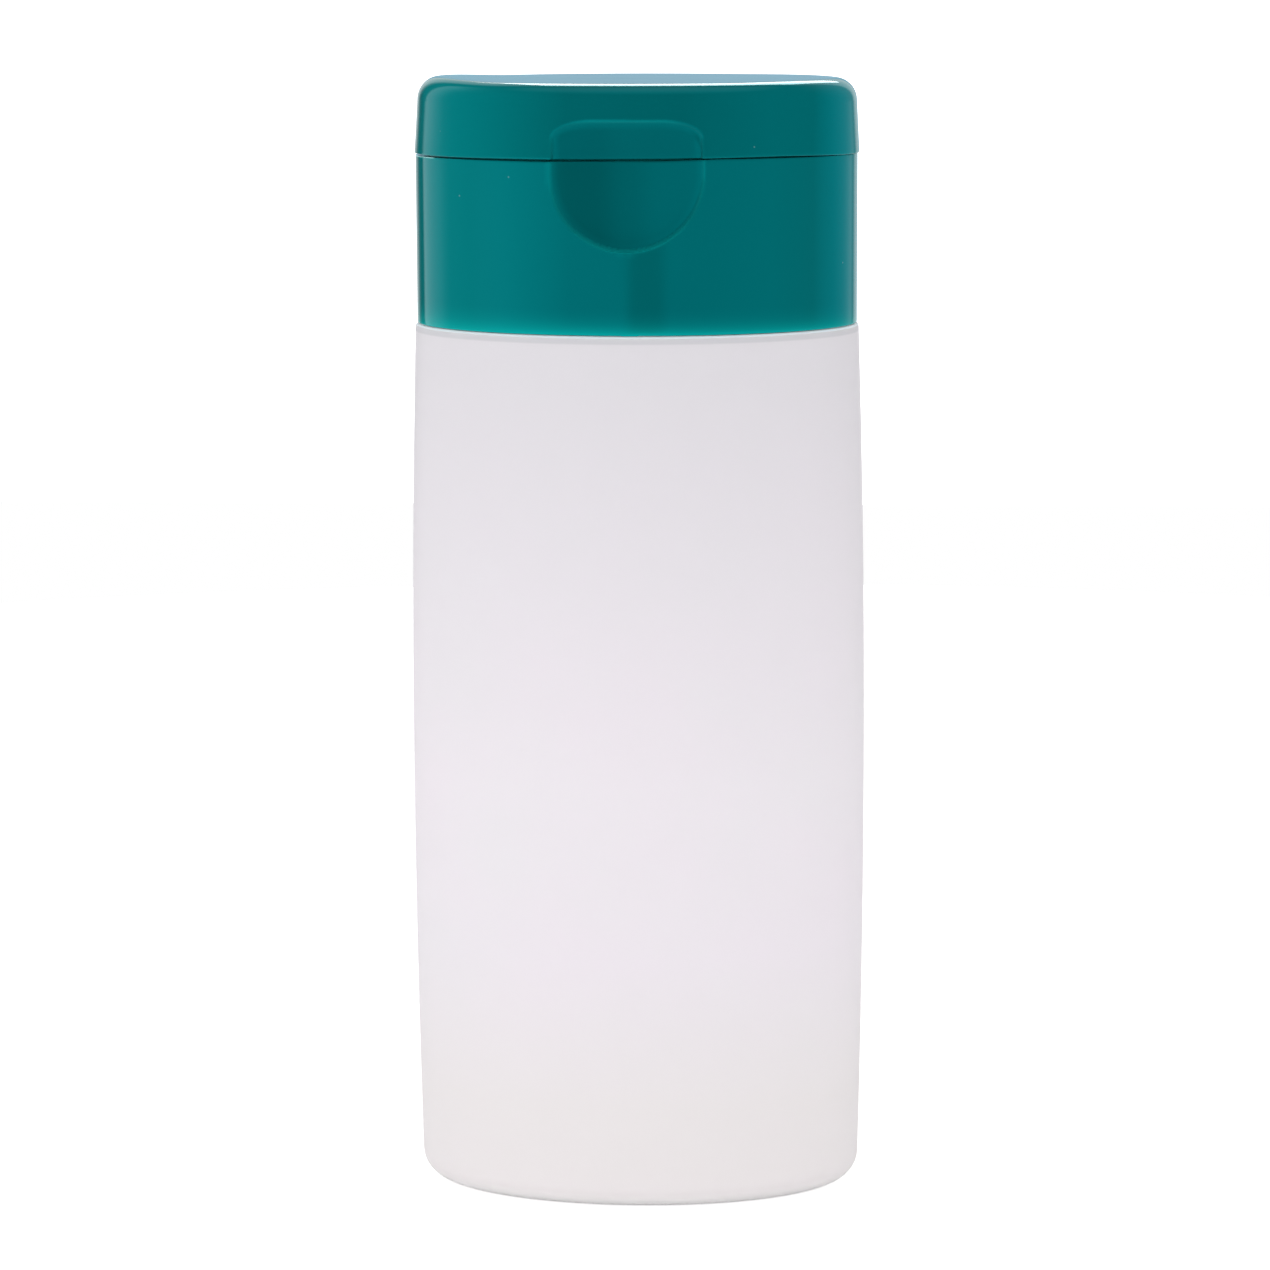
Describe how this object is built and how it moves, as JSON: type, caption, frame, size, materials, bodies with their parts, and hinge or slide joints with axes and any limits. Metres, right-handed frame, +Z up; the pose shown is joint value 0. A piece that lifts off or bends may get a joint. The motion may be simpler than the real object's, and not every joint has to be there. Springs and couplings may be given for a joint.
{
  "type": "travel bottle",
  "caption": "Slim oval travel bottle for toiletries: a frosted blown body with a threaded neck, closed by an oval screw-on cap with a hinged flip lid over its spout.",
  "frame": {"origin": "under the middle of the bottle, on the surface that it stands on", "axes": "+Z up the bottle, X across its width, front with the thumb recess towards -Y, hinge towards +Y"},
  "size_m": [0.0528, 0.0322, 0.1303],
  "materials": {
    "milky_polyethylene": "frosted, slightly translucent blown polyethylene",
    "teal_polypropylene": "glossy moulded polypropylene",
    "white_foam": "closed-cell foam"
  },
  "bodies": {
    "bottle": {"bottle": "milky_polyethylene"},
    "sealing_washer": {"sealing_washer": "white_foam"},
    "cap_base": {"cap_base": "teal_polypropylene", "hinge_film_left": "teal_polypropylene", "hinge_film_right": "teal_polypropylene", "snap_strap": "teal_polypropylene"},
    "flip_lid": {"flip_lid": "teal_polypropylene"}
  },
  "joints": [
    {"name": "cap_lift", "type": "slide", "parent": "bottle", "child": "sealing_washer", "axis": [0, 0, 1], "range_m": [0, 0.0048]},
    {"name": "cap_turn", "type": "hinge", "parent": "sealing_washer", "child": "cap_base", "pos_m": [0, 0, 0.112], "axis": [0, 0, 1], "range_deg": [0, 540]},
    {"name": "lid", "type": "hinge", "parent": "cap_base", "child": "flip_lid", "pos_m": [0, 0.01462, 0.12201], "axis": [-1, 0, 0], "range_deg": [0, 135], "deforming": ["hinge_film_left", "hinge_film_right", "snap_strap"]}
  ],
  "couplings": [
    {"joint": "cap_lift", "follows": "cap_turn", "m_per_rad": 0.00050611}
  ]
}
